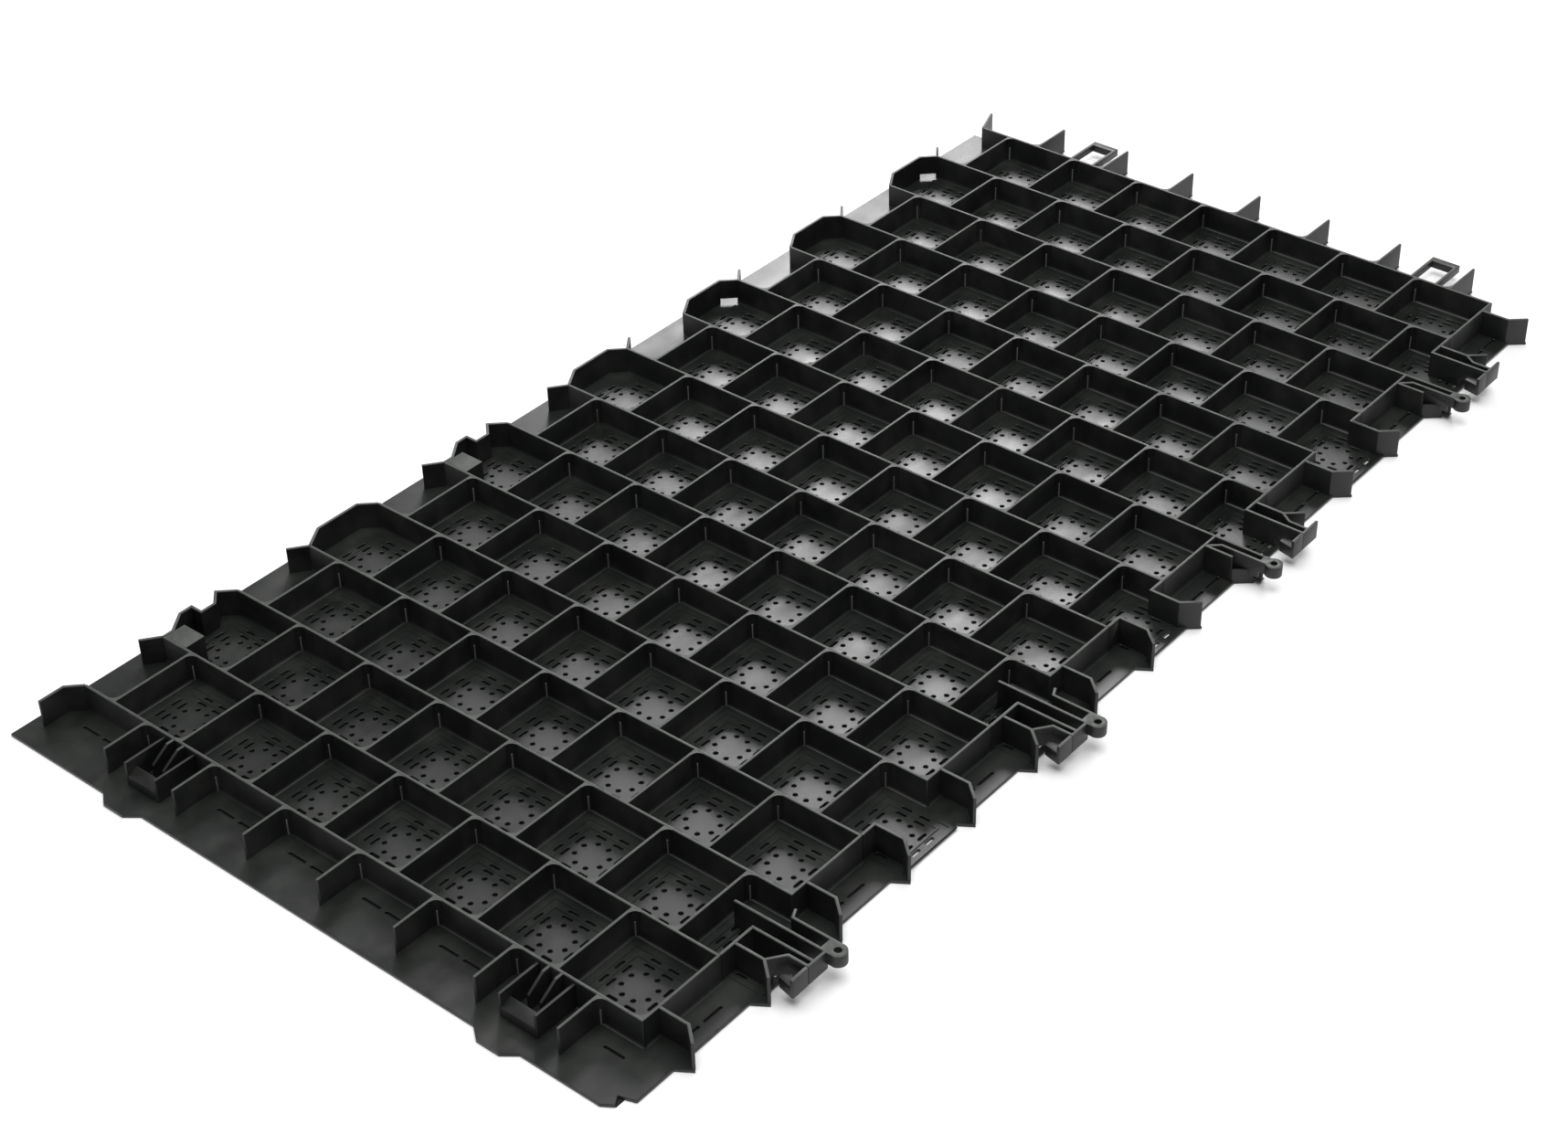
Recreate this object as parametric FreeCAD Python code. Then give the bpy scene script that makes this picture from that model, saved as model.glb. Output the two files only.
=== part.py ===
"""Interlocking ground-reinforcement grid panel with square cells and a perforated floor.

Units are millimetres. X is the short direction, Y the long direction and Z is up.
The origin is the middle of the 8 by 16 cell module, on the underside of the floor.
The panel is one moulding in use. Its moulded regions are written as separate solids.
"""
import FreeCAD
import Part

import math
import os

# --- main sizes -------------------------------------------------------------
PITCH = 62.5                # cell spacing, both ways
MODULE_CELLS = 8            # cells across one module
ROWS = 15                   # closed rows between the 16 transverse walls
FLOOR_T = 2.0               # floor thickness
WALL_H = 19.5               # wall height above the floor
WALL_T = 2.0                # wall thickness
WEB_LEG = 5.0               # leg of the triangular web in each cell corner

# --- floor outline ----------------------------------------------------------
LEFT_MARGIN = 15.5          # floor beyond the left edge of the module
RIGHT_MARGIN = 23.75        # floor beyond the riser, right side
NEAR_FLANGE = 46.0          # floor beyond the first transverse wall
JOINT_GAP = 1.0             # gap between this floor and the next panel's floor
EAR_NEAR = 3.0              # start of the ear under a wing tip, across the wall line
TAB_OFFSET = 28.0           # tab centre from the fin beside it
TAB_TIP = 17.0              # tab width at its tip
TAB_SLOPE = 9.0             # run of each sloping side of a tab
TAB_OUT = 7.0               # how far a tab stands out
CORNER_CUT = 14.0           # cut at the near right corner

# --- floor perforations -----------------------------------------------------
RING_HOLES = 8
RING_R = 10.8               # radius of the ring of round holes
HOLE_D = 3.0
SLOT_L = 7.5                # short slots along the four sides of a cell
SLOT_W = 2.0
SLOT_ROWS = (15.4, 20.8)    # the two slot rows from the cell centre
SLOT_SIDE = 6.6             # slot centre from the cell's centre line
BAY_SLOT_L = 15.0           # long slots in the open bays of the near and right edges
BAY_SLOT_OUT = 13.5         # their distance from the wall behind them
BAY_SLOT_SIDE = 9.5

# --- ends of the transverse walls ------------------------------------------
END_INSET = 4.5             # left wall ends, inside the left edge of the module
WING_RISE = 13.0            # right wing: offset of its short wall from the line
WING_RUN = 21.5             # right wing: length of its short wall
WING_TIP_RUN = 11.0         # right wing: reach of its sloping end
WING_TIP_DROP = 9.5
LOOP_REACH = 10.5           # left loop: how far it stands beyond the wall ends
LOOP_TOP = 10.0             # left loop: chamfer at the far wall
LOOP_FOOT = 17.0            # left loop: chamfer at the near wall
PEG_REACH = 9.5             # left pegs
PEG_RISE = 12.5
END_PEG_LEN = 19.0          # straight part of the peg at the near edge
LAST_PEG_RISE = 25.0

# --- fins on the short edges ------------------------------------------------
NEAR_FIN_L = 32.0
FAR_FIN_L = 37.0
FIN_PASS = 0.8              # side clearance between meeting fins of two panels

# --- snap receivers and tongues on the short edges --------------------------
SNAP_BAYS = (0, 5)          # bays that hold a receiver; tongues line up with them
CHEEK_GAP = 25.0            # clear width between the two cheeks
CHEEK_L = 31.0
CHEEK_DROP = 2.5            # cheeks end this far below the wall tops
RAMP_SPACING = 9.5
RAMP_L = 18.0
RAMP_FLAT = 5.0             # level part of a ramp, next to the wall
RAMP_LOW = 11.0             # ramp height above the floor at its outer end
CATCH_L = 7.0               # catch between the cheeks, along Y
CATCH_OUT = 7.0             # catch height above the floor, outer side
CATCH_IN = 11.0             # catch height above the floor, inner side
TONGUE_CLEAR = 1.0          # tongue to cheek, each side
TONGUE_L = 48.5
TONGUE_BAR = 2.5
TONGUE_TIP = 6.0
TONGUE_H = 6.0
TONGUE_TOP = 12.5           # height of the tongue's upper side
ROOT_GAP = 0.4              # running gap at the root of a flexing piece

# --- side latches -----------------------------------------------------------
LATCH_ROWS_A = (1, 5)
LATCH_ROWS_B = (9, 13)
LATCH_LOW = 8.0             # underside of a latch beyond the floor's edge
STRIP_X = 43.5              # end strip from the riser
BARREL_LOW = 13.0           # underside of a pierced barrel
BARREL_R = 5.8
BARREL_HOLE_D = 4.6
BARREL_FROM_BLOCK = 9.0     # barrel centre from the start of the block it stands on
ARM_A = 28.75               # type A bars, as heights above their wall line
STAY_A = 24.0
TAIL_A = 38.9
GUIDE_A = 48.3
TAIL_A_L = 22.0             # long bar, length inside the cell
GUIDE_A_START = 12.5
GUIDE_A_BEND = 3.0          # run of the bent end of the upper bar
GUIDE_A_RISE = 6.5
BLOCK_A_X = 39.5            # start of the block that joins the two upper bars
STAY_RUN = 8.0              # run of a stay's slope, out of the wing's corner
FINGER_A = 9.4              # lower end of a type A finger
ARM_B = 24.4                # type B bars, as depths below the next wall line
STAY_B = 18.5
STRIP_B = 7.0
FINGER_B = 37.2
BARB_REACH = 11.0           # barb on a finger, towards the panel
BARB_W = 9.0
BARB_TIP_W = 4.0
BARB_H = 8.0
NOSE_B = 37.5               # extended wall of a type B latch beyond the riser
BAR_B = 6.0                 # its second bar, below the wall line
BAR_B_RUN = 8.0             # run of that bar's sloping start
LOW_TIP_H = 9.0             # height of the wing tip that passes below the nose

# --- left-hand latch seats --------------------------------------------------
SEAT_T = 3.0                # bridge plate over a type A seat
SEAT_W = 19.5
SEAT_D = 15.5
WINDOW_W = 11.0             # window at the foot of a type B seat
WINDOW_H = 4.0

TOP = FLOOR_T + WALL_H
HALF = WALL_T / 2.0
LINES = ROWS + 1
MID_LINE = ROWS / 2.0
LAST_COL = MODULE_CELLS - 2
X_FIRST = -(MODULE_CELLS / 2.0 - 1.0) * PITCH
X_LAST = X_FIRST + LAST_COL * PITCH
X_END_LEFT = X_FIRST - PITCH + END_INSET
X_RISER = X_LAST + PITCH / 2.0
X_FLOOR_LEFT = X_FIRST - PITCH - LEFT_MARGIN
X_FLOOR_RIGHT = X_RISER + RIGHT_MARGIN


def line_y(k):
    return (k - MID_LINE) * PITCH


def col_x(n):
    return X_FIRST + n * PITCH


Y_NEAR = line_y(0) - NEAR_FLANGE
Y_FAR = Y_NEAR + (ROWS + 1) * PITCH - JOINT_GAP


def box(x0, x1, y0, y1, z0, z1):
    return Part.makeBox(x1 - x0, y1 - y0, z1 - z0, FreeCAD.Vector(x0, y0, z0))


def prism(points, z0, z1, holes=()):
    def wire(pts):
        loop = [FreeCAD.Vector(x, y, z0) for x, y in pts]
        return Part.makePolygon(loop + [loop[0]])
    if holes:
        face = Part.makeFace([wire(points)] + list(holes), "Part::FaceMakerBullseye")
    else:
        face = Part.Face(wire(points))
    return face.extrude(FreeCAD.Vector(0, 0, z1 - z0)).Solids[0]


def offset_side(points, side):
    """Points of a polyline moved sideways by half a wall, with mitred corners."""
    out = []
    last = len(points) - 1
    for i, (x, y) in enumerate(points):
        normals = []
        for a, b in ((i - 1, i), (i, i + 1)):
            if a < 0 or b > last:
                continue
            dx = points[b][0] - points[a][0]
            dy = points[b][1] - points[a][1]
            length = math.hypot(dx, dy)
            normals.append((-dy / length, dx / length))
        nx = sum(n[0] for n in normals)
        ny = sum(n[1] for n in normals)
        size = math.hypot(nx, ny)
        nx, ny = nx / size, ny / size
        reach = side * HALF / (nx * normals[0][0] + ny * normals[0][1])
        out.append((x + nx * reach, y + ny * reach))
    return out


def wall(points, z0=FLOOR_T, z1=TOP):
    """A thin wall that follows a polyline."""
    outline = offset_side(points, 1.0) + offset_side(points, -1.0)[::-1]
    return prism(outline, z0, z1)


def trimmed(shape, *others):
    """The shape without what its neighbours already fill; the main piece is kept."""
    for other in others:
        shape = shape.cut(other)
    return max(shape.Solids, key=lambda s: s.Volume)


def save(name, solids):
    if len(solids) == 1:
        shape = solids[0]
    else:
        shape = Part.makeCompound(solids)
    for solid in shape.Solids:
        if not solid.isValid() or solid.Volume <= 0:
            raise ValueError("bad solid in " + name)
    shape.exportStep("parts/" + name + ".step")
    print(name, len(shape.Solids), round(shape.Volume / 1000.0, 2))


# --- transverse and cross walls --------------------------------------------
def is_even(row):
    return row % 2 == 0


def cross_columns(row):
    """X of every cross wall of a row; alternate rows are half a pitch apart."""
    if is_even(row):
        return [col_x(n) - PITCH / 2.0 for n in range(LAST_COL + 2)]
    return [col_x(n) for n in range(LAST_COL + 1)]


def transverse_wall(k):
    right = X_RISER + HALF
    if k in LATCH_ROWS_B:
        right = X_RISER + NOSE_B
    return box(X_END_LEFT, right, line_y(k) - HALF, line_y(k) + HALF, FLOOR_T, TOP)


def cross_wall(row, x):
    return box(x - HALF, x + HALF, line_y(row) + HALF, line_y(row + 1) - HALF, FLOOR_T, TOP)


def corner_web(x, y, sx, sy):
    """Triangular web in the corner at (x, y), opening towards (sx, sy)."""
    points = [(x, y), (x + sx * WEB_LEG, y), (x, y + sy * WEB_LEG)]
    if sx * sy < 0:
        points.reverse()
    return prism(points, FLOOR_T, TOP)


def webs_of_row(row):
    """Two webs per cell, in its low-X high-Y and its high-X low-Y corner."""
    webs = []
    low = line_y(row) + HALF
    high = line_y(row + 1) - HALF
    for x in cross_columns(row):
        webs.append(corner_web(x - HALF, low, -1, 1))
        if x < X_RISER - HALF:
            webs.append(corner_web(x + HALF, high, 1, -1))
    return webs


def webs_of_fins():
    webs = []
    for n in range(LAST_COL + 1):
        webs.append(corner_web(col_x(n) + HALF, line_y(0) - HALF, 1, -1))
        x = col_x(n) - WALL_T - FIN_PASS - HALF
        webs.append(corner_web(x, line_y(LINES - 1) + HALF, -1, 1))
    return webs


# --- floor ------------------------------------------------------------------
def side_of(k):
    """+1 for lines of the near half, -1 for the far half, which is mirrored."""
    return 1 if k < LINES / 2 else -1


def ear_points(k):
    """Right-hand floor ear at wall line k, in the order of rising Y."""
    side = side_of(k)
    tip_y = line_y(k) + side * (WING_RISE - WING_TIP_DROP)
    tip_x = X_RISER + WING_RUN + WING_TIP_RUN + HALF
    pts = [(X_FLOOR_RIGHT, line_y(k) - side * EAR_NEAR), (tip_x, tip_y),
           (X_FLOOR_RIGHT, line_y(k) + side * (WING_RISE - HALF))]
    if side < 0:
        pts.reverse()
    return pts


def tab_points(y, sign, grow):
    """Outward tabs below the snap receivers, or the recesses that take them."""
    pts = []
    for bay in SNAP_BAYS:
        xc = col_x(bay) + TAB_OFFSET
        tip = TAB_TIP / 2.0 + grow
        root = tip + TAB_SLOPE
        pts.append([(xc - root, y), (xc - tip, y + sign * TAB_OUT),
                    (xc + tip, y + sign * TAB_OUT), (xc + root, y)])
    return pts


SECTION_EDGES = [Y_NEAR, line_y(3.5), line_y(8.5), line_y(12.5), Y_FAR]


def floor_outline(index):
    y0 = SECTION_EDGES[index]
    y1 = SECTION_EDGES[index + 1]
    pts = [(X_FLOOR_LEFT, y0)]
    if index == 0:
        for tab in tab_points(y0, -1, 0.0):
            pts += tab
        pts.append((X_FLOOR_RIGHT - CORNER_CUT, y0))
        pts.append((X_FLOOR_RIGHT - CORNER_CUT / 2.0, y0 + CORNER_CUT / 3.0))
        pts.append((X_FLOOR_RIGHT - CORNER_CUT * 0.75, y0 + CORNER_CUT * 0.75))
        pts.append((X_FLOOR_RIGHT, y0 + CORNER_CUT))
    else:
        pts.append((X_FLOOR_RIGHT, y0))
    for k in range(LINES):
        if y0 < line_y(k) < y1:
            pts += ear_points(k)
    pts.append((X_FLOOR_RIGHT, y1))
    if index == len(SECTION_EDGES) - 2:
        for tab in tab_points(y1, -1, JOINT_GAP)[::-1]:
            pts += tab[::-1]
    pts.append((X_FLOOR_LEFT, y1))
    return pts


def round_hole(x, y):
    edge = Part.makeCircle(HOLE_D / 2.0, FreeCAD.Vector(x, y, 0), FreeCAD.Vector(0, 0, 1))
    return Part.Wire([edge])


def slot_hole(x, y, lx, ly):
    pts = [(x - lx / 2, y - ly / 2), (x + lx / 2, y - ly / 2),
           (x + lx / 2, y + ly / 2), (x - lx / 2, y + ly / 2)]
    loop = [FreeCAD.Vector(px, py, 0) for px, py in pts]
    return Part.makePolygon(loop + [loop[0]])


def cell_holes(xc, yc):
    """Ring of round holes, then two rows of slots along each side."""
    wires = []
    for n in range(RING_HOLES):
        a = math.radians((n + 0.5) * 360.0 / RING_HOLES)
        wires.append(round_hole(xc + RING_R * math.cos(a), yc + RING_R * math.sin(a)))
    for along in (-SLOT_SIDE, SLOT_SIDE):
        for row in SLOT_ROWS:
            for out in (-row, row):
                wires.append(slot_hole(xc + along, yc + out, SLOT_L, SLOT_W))
                wires.append(slot_hole(xc + out, yc + along, SLOT_W, SLOT_L))
    return wires


def row_cell_centres(row):
    columns = cross_columns(row)
    centres = [x + PITCH / 2.0 for x in columns if x < X_RISER - HALF]
    if not is_even(row):
        centres.insert(0, columns[0] - PITCH / 2.0)
    return centres


def section_holes(index):
    y0 = SECTION_EDGES[index]
    y1 = SECTION_EDGES[index + 1]
    wires = []
    for row in range(ROWS):
        yc = line_y(row + 0.5)
        for xc in row_cell_centres(row):
            for w in cell_holes(xc, yc):
                c = w.BoundBox.Center
                if y0 < c.y < y1:
                    wires.append(w)
    if index == 0:
        for n in range(-1, LAST_COL + 1):
            xc = col_x(n) + PITCH / 2.0
            for side in (-BAY_SLOT_SIDE, BAY_SLOT_SIDE):
                if n in SNAP_BAYS or xc + side > X_RISER:
                    continue
                wires.append(slot_hole(xc + side, line_y(0) - BAY_SLOT_OUT, BAY_SLOT_L, SLOT_W))
    for row in range(0, ROWS, 2):
        for side in (-BAY_SLOT_SIDE, BAY_SLOT_SIDE):
            y = line_y(row + 0.5) + side
            if y0 < y < y1:
                wires.append(slot_hole(X_RISER + BAY_SLOT_OUT, y, SLOT_W, BAY_SLOT_L))
    return wires


# --- wings and pegs ---------------------------------------------------------
def right_wing(k):
    side = side_of(k)
    y = line_y(k)
    x0 = X_RISER + HALF
    x1 = X_RISER + WING_RUN
    x2 = x1 + WING_TIP_RUN
    root = (x0, y + side * WING_RISE)
    corner = (x1, y + side * WING_RISE)
    tip = (x2, y + side * (WING_RISE - WING_TIP_DROP))
    if k not in LATCH_ROWS_B:
        return wall([root, corner, tip])
    low_tip = wall([corner, tip], FLOOR_T, FLOOR_T + LOW_TIP_H)
    return wall([root, corner]).fuse(low_tip).removeSplitter().Solids[0]


def needs_riser(k):
    """The wing of this line stands in an odd row, which has no wall at the riser."""
    return not is_even(k if side_of(k) > 0 else k - 1)


def riser_length(k):
    if k in LATCH_ROWS_A:
        return ARM_A - HALF
    if k - 1 in LATCH_ROWS_B:
        return ARM_B - HALF
    return WING_RISE + HALF


def riser(k):
    side = side_of(k)
    start = line_y(k) + side * HALF
    end = line_y(k) + side * riser_length(k)
    return box(X_RISER - HALF, X_RISER + HALF, min(start, end), max(start, end), FLOOR_T, TOP)


def left_peg(k):
    """Sloping peg on the left end of a wall line."""
    side = side_of(k)
    x0, y0 = X_END_LEFT, line_y(k)
    if k == 0:
        y1 = y0 - PEG_REACH
        return wall([(x0, y0), (x0 - PEG_REACH, y1), (x0 - PEG_REACH, y1 - END_PEG_LEN)])
    rise = LAST_PEG_RISE if k == LINES - 1 else PEG_RISE
    return wall([(x0, y0), (x0 - PEG_REACH, y0 - side * rise)])


def has_peg(k):
    if side_of(k) > 0:
        return k == 0 or not is_even(k)
    return is_even(k) or k == LINES - 1


# --- left loops -------------------------------------------------------------
def loop_points(row):
    x0 = X_END_LEFT
    x1 = X_END_LEFT - LOOP_REACH
    low, high = line_y(row), line_y(row + 1)
    if row in LATCH_ROWS_A:
        mid = (low + high) / 2.0
        notch = x0 - HALF
        step = SEAT_D / 2.0
        return [(x0, high), (x1, high - LOOP_TOP), (notch, high - 2 * LOOP_TOP + HALF),
                (notch, mid + HALF), (x1, mid + HALF), (x1, mid - step - HALF),
                (x0, low + step), (x0, low)]
    return [(x0, high), (x1, high - LOOP_TOP), (x1, low + LOOP_FOOT), (x0, low)]


def left_loop(row):
    loop = trimmed(wall(loop_points(row)), transverse_wall(row), transverse_wall(row + 1))
    if row in LATCH_ROWS_B:
        xw = X_END_LEFT - LOOP_REACH / 2.0
        yw = line_y(row + 1) - LOOP_TOP / 2.0
        cutter = box(xw - WINDOW_W / 2, xw + WINDOW_W / 2, yw - WINDOW_W / 2, yw + WINDOW_W / 2,
                     FLOOR_T, FLOOR_T + WINDOW_H)
        loop = trimmed(loop, cutter)
    return loop


def latch_seat(row):
    """Bridge plate over the pocket that takes a type A latch, on its side wall."""
    x0 = X_END_LEFT + HALF
    y0 = line_y(row) + HALF
    plate = box(x0, x0 + SEAT_W, y0, y0 + SEAT_D, TOP - SEAT_T, TOP)
    side = box(x0 + SEAT_W - WALL_T, x0 + SEAT_W, y0, y0 + SEAT_D, FLOOR_T, TOP - SEAT_T)
    return plate.fuse(side).removeSplitter().Solids[0]


# --- side latches -----------------------------------------------------------
def barrel(x, y, reach):
    """Pierced barrel on a block that starts at x and is 2 * reach wide."""
    block = box(x, x + BARREL_FROM_BLOCK, y - reach, y + reach, BARREL_LOW, TOP)
    centre = FreeCAD.Vector(x + BARREL_FROM_BLOCK, y, BARREL_LOW)
    return block.fuse(Part.makeCylinder(BARREL_R, TOP - BARREL_LOW, centre))


def pierce(shape, x, y):
    """Bore of the barrel that stands on the block at x."""
    centre = FreeCAD.Vector(x + BARREL_FROM_BLOCK, y, 0)
    return shape.cut(Part.makeCylinder(BARREL_HOLE_D / 2.0, 2.0 * TOP, centre))


def raised(shape):
    """A latch frame, cut away below its outer part so that the next floor passes."""
    far = X_RISER + 2.0 * PITCH
    cutter = box(X_FLOOR_RIGHT, far, Y_NEAR, Y_FAR, 0.0, LATCH_LOW)
    return shape.cut(cutter)


def frame_a(row):
    """Fixed frame of a type A latch: four bars, an end strip and a pierced barrel."""
    y = line_y(row)
    xe = X_RISER + STRIP_X
    xb = X_RISER + BLOCK_A_X
    xg = X_RISER + GUIDE_A_START
    xs = X_RISER + WING_RUN
    middle = (TAIL_A + GUIDE_A) / 2.0
    bars = [
        wall([(X_RISER - HALF, y + ARM_A), (xe, y + ARM_A)]),
        wall([(X_RISER - TAIL_A_L, y + TAIL_A), (xe, y + TAIL_A)]),
        wall([(xg - GUIDE_A_BEND, y + GUIDE_A + GUIDE_A_RISE), (xg, y + GUIDE_A), (xb, y + GUIDE_A)]),
        wall([(xs, y + WING_RISE), (xs + STAY_RUN, y + STAY_A), (xe, y + STAY_A)]),
        wall([(xe, y + TAIL_A + HALF), (xe, y + STAY_A - HALF)]),
        barrel(xb, y + middle, middle - TAIL_A + HALF),
    ]
    shape = pierce(bars[0].multiFuse(bars[1:]), xb, y + middle)
    return trimmed(raised(shape.removeSplitter()), right_wing(row))


def frame_b(row):
    """Fixed frame of a type B latch: two bars and an end strip."""
    y = line_y(row + 1)
    xe = X_RISER + STRIP_X
    xs = X_RISER + WING_RUN
    bars = [
        wall([(X_RISER - HALF, y - ARM_B), (xe, y - ARM_B)]),
        wall([(xs, y - WING_RISE), (xs + STAY_RUN, y - STAY_B), (xe, y - STAY_B)]),
        wall([(xe, y - STRIP_B), (xe, y - ARM_B - HALF)]),
    ]
    shape = raised(bars[0].multiFuse(bars[1:]).removeSplitter())
    return trimmed(shape, right_wing(row + 1))


def finger(root_y, end_y):
    """Flexing lower end of an end strip, with the barb that snaps behind the seat."""
    xe = X_RISER + STRIP_X
    strip = wall([(xe, root_y - ROOT_GAP), (xe, end_y)], LATCH_LOW)
    tip_y = end_y + (BARB_W - BARB_TIP_W) / 2.0
    barb = prism([(xe, end_y), (xe, end_y + BARB_W), (xe - BARB_REACH, tip_y + BARB_TIP_W),
                  (xe - BARB_REACH, tip_y)], LATCH_LOW, LATCH_LOW + BARB_H)
    return strip.fuse(barb).removeSplitter().Solids[0]


def finger_a(row):
    y = line_y(row)
    return finger(y + STAY_A - HALF, y + FINGER_A)


def finger_b(row):
    y = line_y(row + 1)
    return finger(y - ARM_B - HALF, y - FINGER_B)


def nose_b(row):
    """Fixed nose of a type B latch: a second bar and a barrel on the long wall's end."""
    y = line_y(row)
    x0 = X_RISER + HALF
    x1 = X_RISER + NOSE_B
    bar = wall([(x0, y - WING_RISE), (x0 + BAR_B_RUN, y - BAR_B), (x1, y - BAR_B)])
    y_barrel = y - BAR_B / 2.0
    shape = bar.fuse(barrel(x1, y_barrel, BAR_B / 2.0 + HALF)).removeSplitter()
    shape = raised(pierce(shape, x1, y_barrel))
    return trimmed(shape, transverse_wall(row), right_wing(row), cross_wall(row - 1, X_RISER))


# --- short-edge snap fastenings --------------------------------------------
def side_profile(x, width, points):
    """Solid with the given outline in the Y-Z plane, from x over width."""
    loop = [FreeCAD.Vector(x, y, z) for y, z in points]
    face = Part.Face(Part.makePolygon(loop + [loop[0]]))
    return face.extrude(FreeCAD.Vector(width, 0, 0))


def receiver(bay):
    """Two cheeks, two ramps, and a sloping catch that joins the cheeks' outer ends."""
    xc = col_x(bay) + PITCH / 2.0
    y1 = line_y(0) - HALF
    half_gap = CHEEK_GAP / 2.0
    pieces = []
    for x in (xc - half_gap - WALL_T, xc + half_gap):
        pieces.append(box(x, x + WALL_T, y1 - CHEEK_L, y1, FLOOR_T, TOP - CHEEK_DROP))
    ramp = [(y1, FLOOR_T), (y1 - RAMP_L, FLOOR_T), (y1 - RAMP_L, FLOOR_T + RAMP_LOW),
            (y1 - RAMP_FLAT, TOP), (y1, TOP)]
    for x in (xc - RAMP_SPACING / 2.0, xc + RAMP_SPACING / 2.0):
        pieces.append(side_profile(x - HALF, WALL_T, ramp))
    y2 = y1 - CHEEK_L
    catch = [(y2, FLOOR_T), (y2, FLOOR_T + CATCH_OUT), (y2 + CATCH_L, FLOOR_T + CATCH_IN),
             (y2 + CATCH_L, FLOOR_T)]
    pieces.append(side_profile(xc - half_gap, CHEEK_GAP, catch))
    return pieces


def tongue(bay):
    """Rectangular loop that springs over the ramps of the next panel's receiver."""
    xc = col_x(bay) + PITCH / 2.0
    w = CHEEK_GAP / 2.0 - TONGUE_CLEAR
    y0 = line_y(LINES - 1) + HALF + ROOT_GAP
    y1 = y0 + TONGUE_L
    z0 = TONGUE_TOP - TONGUE_H
    outer = box(xc - w, xc + w, y0, y1, z0, TONGUE_TOP)
    inner = box(xc - w + TONGUE_BAR, xc + w - TONGUE_BAR, y0 + TONGUE_BAR, y1 - TONGUE_TIP, z0, TONGUE_TOP)
    return outer.cut(inner)


def near_fins():
    y1 = line_y(0) - HALF
    return [box(col_x(n) - HALF, col_x(n) + HALF, y1 - NEAR_FIN_L, y1, FLOOR_T, TOP)
            for n in range(LAST_COL + 1)]


def far_fins():
    y0 = line_y(LINES - 1) + HALF
    shift = -(WALL_T + FIN_PASS)
    return [box(col_x(n) + shift - HALF, col_x(n) + shift + HALF, y0, y0 + FAR_FIN_L, FLOOR_T, TOP)
            for n in range(LAST_COL + 1)]


def main():
    os.makedirs("parts", exist_ok=True)
    for index in range(len(SECTION_EDGES) - 1):
        shape = prism(floor_outline(index), 0.0, FLOOR_T, section_holes(index))
        save("floor_section_%d" % (index + 1), [shape])
    for k in range(LINES):
        save("transverse_wall_%02d" % (k + 1), [transverse_wall(k)])
    for row in range(ROWS):
        save("cross_walls_row_%02d" % (row + 1), [cross_wall(row, x) for x in cross_columns(row)])
    webs = webs_of_fins()
    for row in range(ROWS):
        webs += webs_of_row(row)
    save("cell_corner_webs", webs)
    loops = {}
    for row in range(ROWS):
        if not is_even(row):
            loops[row] = left_loop(row)
            save("left_loop_row_%02d" % (row + 1), [loops[row]])
    pegs = []
    for k in range(LINES):
        if has_peg(k):
            near = [transverse_wall(k)] + [loops[r] for r in (k - 1, k) if r in loops]
            pegs.append(trimmed(left_peg(k), *near))
    save("left_pegs", pegs)
    wings = []
    for k in range(LINES):
        wings.append(right_wing(k))
        if needs_riser(k):
            wings.append(riser(k))
    save("right_wings", wings)
    save("latch_seats", [latch_seat(row) for row in LATCH_ROWS_A])
    save("latch_noses", [nose_b(row) for row in LATCH_ROWS_B])
    save("latch_frames_a", [frame_a(row) for row in LATCH_ROWS_A])
    save("latch_frames_b", [frame_b(row) for row in LATCH_ROWS_B])
    for row in LATCH_ROWS_A:
        save("latch_finger_row_%02d" % (row + 1), [finger_a(row)])
    for row in LATCH_ROWS_B:
        save("latch_finger_row_%02d" % (row + 1), [finger_b(row)])
    for n, bay in enumerate(SNAP_BAYS):
        save("snap_receiver_%d" % (n + 1), receiver(bay))
        save("snap_tongue_%d" % (n + 1), [tongue(bay)])
    save("near_edge_fins", near_fins())
    save("far_edge_fins", far_fins())


main()
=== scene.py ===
"""Looks of an interlocking grid panel: ribs with rounded tops, a perforated floor and snap latches.

All lengths are metres. X is the panel's short direction, Y its long direction, Z is up.
"""
import math

import bmesh
import bpy
from bpy.props import FloatProperty, FloatVectorProperty, IntProperty, PointerProperty
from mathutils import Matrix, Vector
from mathutils.bvhtree import BVHTree


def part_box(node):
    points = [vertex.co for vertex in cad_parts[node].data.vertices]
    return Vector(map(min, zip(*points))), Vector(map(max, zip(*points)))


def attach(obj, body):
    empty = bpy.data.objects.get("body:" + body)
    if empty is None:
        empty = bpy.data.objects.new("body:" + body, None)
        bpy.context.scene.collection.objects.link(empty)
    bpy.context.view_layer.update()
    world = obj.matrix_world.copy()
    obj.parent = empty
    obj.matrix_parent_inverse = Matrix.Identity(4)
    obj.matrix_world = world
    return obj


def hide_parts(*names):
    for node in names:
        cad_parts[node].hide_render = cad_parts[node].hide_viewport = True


bl_info = {
    "name": "Grid panel",
    "version": (1, 0, 0),
    "blender": (4, 5, 0),
    "location": "3D View > Sidebar > Grid panel",
    "description": "Builds the moulded ribs, floor and latches of an interlocking grid panel",
    "category": "Add Mesh",
}

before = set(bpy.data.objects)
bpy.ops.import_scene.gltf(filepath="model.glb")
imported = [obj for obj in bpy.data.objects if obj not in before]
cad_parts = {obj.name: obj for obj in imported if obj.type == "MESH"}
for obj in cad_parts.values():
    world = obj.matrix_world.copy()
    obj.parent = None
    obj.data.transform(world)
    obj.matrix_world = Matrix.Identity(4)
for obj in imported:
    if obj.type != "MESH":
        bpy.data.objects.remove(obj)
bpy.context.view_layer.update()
MM = 0.001

ROWS = 15
COLUMNS = 7
SNAP_BAYS = (0, 5)
ROWS_A = (1, 5)
ROWS_B = (9, 13)


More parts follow.
